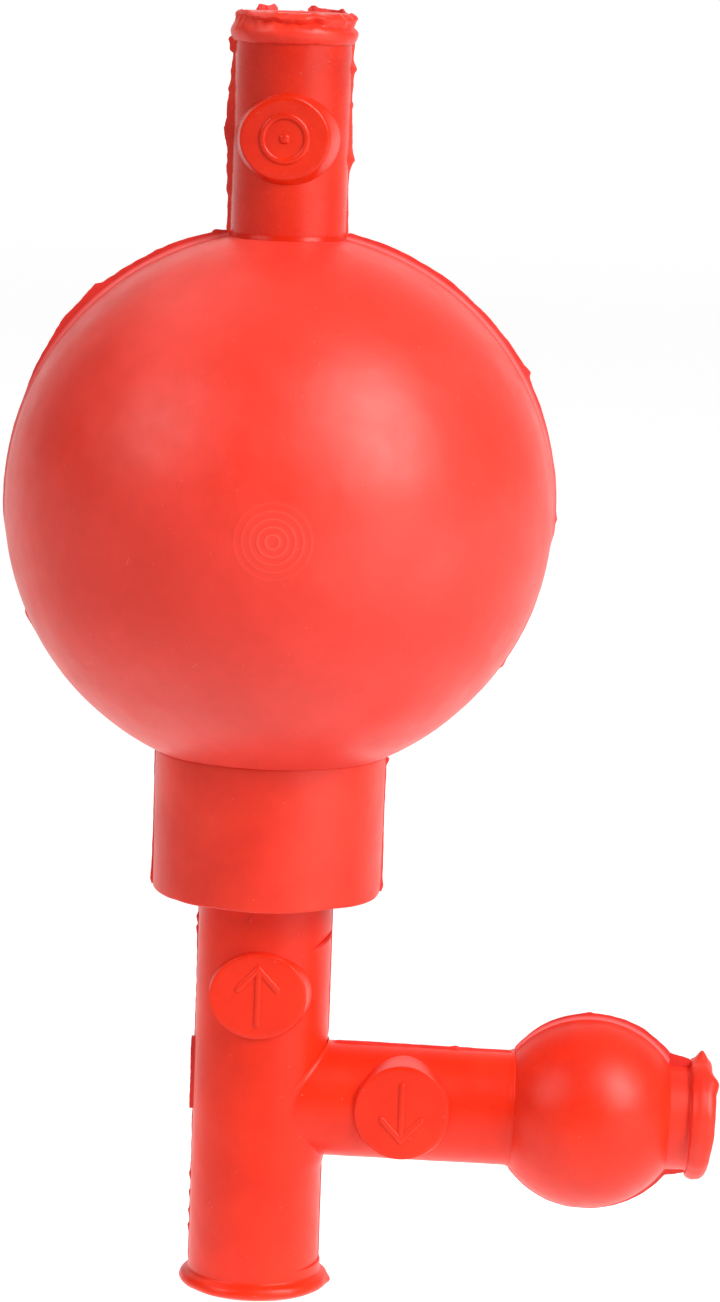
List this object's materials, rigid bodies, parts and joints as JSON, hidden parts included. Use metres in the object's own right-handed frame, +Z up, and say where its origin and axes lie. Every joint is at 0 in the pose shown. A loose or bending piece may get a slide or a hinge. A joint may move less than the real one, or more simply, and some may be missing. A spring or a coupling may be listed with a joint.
{
  "type": "siphon bulb pump",
  "caption": "Rubber squeeze bulb with an air tube on top, turning on a siphon tee with a side arm and blow-out bulb; pinch valves let a pipette fill, hold and empty.",
  "frame": {"origin": "centre of the pipette bore's mouth, at the bottom end of the siphon tube", "axes": "+Z up the siphon tube and through the squeeze bulb to the air tube, +X along the side arm; the marked pinch discs face -Y"},
  "size_m": [0.0855, 0.0636, 0.1505],
  "materials": {
    "red_rubber": "satin moulded rubber, vermilion red",
    "valve_ball": "polished"
  },
  "bodies": {
    "tee": {"siphon_tube": "red_rubber", "side_arm": "red_rubber", "side_bulb": "red_rubber", "end_nozzle": "red_rubber", "siphon_ball": "valve_ball", "empty_ball": "valve_ball"},
    "bulb": {"bulb_shell": "red_rubber", "collar": "red_rubber", "air_tube": "red_rubber", "air_ball": "valve_ball"},
    "bulb_front_wall": {"bulb_front_wall": "red_rubber"},
    "bulb_back_wall": {"bulb_back_wall": "red_rubber"},
    "air_front_pad": {"air_front_pad": "red_rubber"},
    "air_back_pad": {"air_back_pad": "red_rubber"},
    "siphon_front_pad": {"siphon_front_pad": "red_rubber"},
    "siphon_back_pad": {"siphon_back_pad": "red_rubber"},
    "empty_front_pad": {"empty_front_pad": "red_rubber"},
    "empty_back_pad": {"empty_back_pad": "red_rubber"},
    "side_bulb_front_wall": {"side_bulb_front_wall": "red_rubber"},
    "side_bulb_back_wall": {"side_bulb_back_wall": "red_rubber"}
  },
  "joints": [
    {"name": "bulb_turn", "type": "hinge", "parent": "tee", "child": "bulb", "pos_m": [0, 0, 0.0562], "axis": [0, 0, 1], "continuous": true},
    {"name": "bulb_squeeze", "type": "slide", "parent": "bulb", "child": "bulb_front_wall", "axis": [0, 1, 0], "range_m": [0, 0.014], "stiffness_N_per_m": 600},
    {"name": "bulb_squeeze_back", "type": "slide", "parent": "bulb", "child": "bulb_back_wall", "axis": [0, -1, 0], "range_m": [0, 0.014], "stiffness_N_per_m": 600},
    {"name": "air_pinch", "type": "slide", "parent": "bulb", "child": "air_front_pad", "axis": [0, 1, 0], "range_m": [0, 0.001], "stiffness_N_per_m": 2000},
    {"name": "air_pinch_back", "type": "slide", "parent": "bulb", "child": "air_back_pad", "axis": [0, -1, 0], "range_m": [0, 0.001], "stiffness_N_per_m": 2000},
    {"name": "siphon_pinch", "type": "slide", "parent": "tee", "child": "siphon_front_pad", "axis": [0, 1, 0], "range_m": [0, 0.001], "stiffness_N_per_m": 2000},
    {"name": "siphon_pinch_back", "type": "slide", "parent": "tee", "child": "siphon_back_pad", "axis": [0, -1, 0], "range_m": [0, 0.001], "stiffness_N_per_m": 2000},
    {"name": "empty_pinch", "type": "slide", "parent": "tee", "child": "empty_front_pad", "axis": [0, 1, 0], "range_m": [0, 0.001], "stiffness_N_per_m": 2000},
    {"name": "empty_pinch_back", "type": "slide", "parent": "tee", "child": "empty_back_pad", "axis": [0, -1, 0], "range_m": [0, 0.001], "stiffness_N_per_m": 2000},
    {"name": "side_bulb_squeeze", "type": "slide", "parent": "tee", "child": "side_bulb_front_wall", "axis": [0, 1, 0], "range_m": [0, 0.0035], "stiffness_N_per_m": 1000},
    {"name": "side_bulb_squeeze_back", "type": "slide", "parent": "tee", "child": "side_bulb_back_wall", "axis": [0, -1, 0], "range_m": [0, 0.0035], "stiffness_N_per_m": 1000}
  ],
  "couplings": [
    {"joint": "bulb_squeeze_back", "follows": "bulb_squeeze", "ratio": 1},
    {"joint": "air_pinch_back", "follows": "air_pinch", "ratio": 1},
    {"joint": "siphon_pinch_back", "follows": "siphon_pinch", "ratio": 1},
    {"joint": "empty_pinch_back", "follows": "empty_pinch", "ratio": 1},
    {"joint": "side_bulb_squeeze_back", "follows": "side_bulb_squeeze", "ratio": 1}
  ]
}
